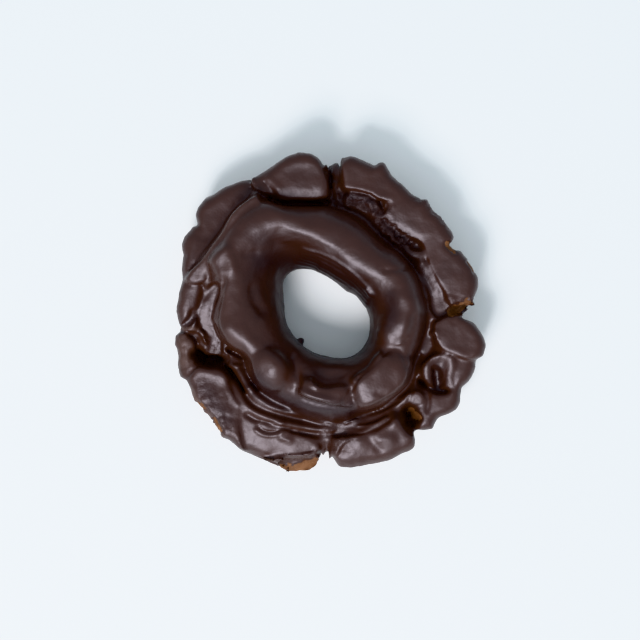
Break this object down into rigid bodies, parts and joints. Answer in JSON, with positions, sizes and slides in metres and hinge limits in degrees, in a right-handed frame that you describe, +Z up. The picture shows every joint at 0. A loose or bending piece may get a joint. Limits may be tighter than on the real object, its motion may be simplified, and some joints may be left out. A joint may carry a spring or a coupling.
{
  "type": "chocolate old-fashioned doughnut",
  "caption": "Cake doughnut ring with a cracked, petalled rim and an off-round hole, under a thin dark chocolate glaze.",
  "frame": {"origin": "middle of the outline, on the flat sole that the doughnut rests on", "axes": "+Z up through the hole, +X to the right and +Y to the top of the doughnut as seen from straight above"},
  "size_m": [0.0954, 0.0972, 0.031],
  "materials": {
    "chocolate_glaze": "thin set chocolate glaze, satin on the flats and shinier on the slopes",
    "fried_crust": "rough golden-brown fried cake crust"
  },
  "bodies": {
    "root": {"doughnut": "chocolate_glaze"}
  },
  "joints": []
}
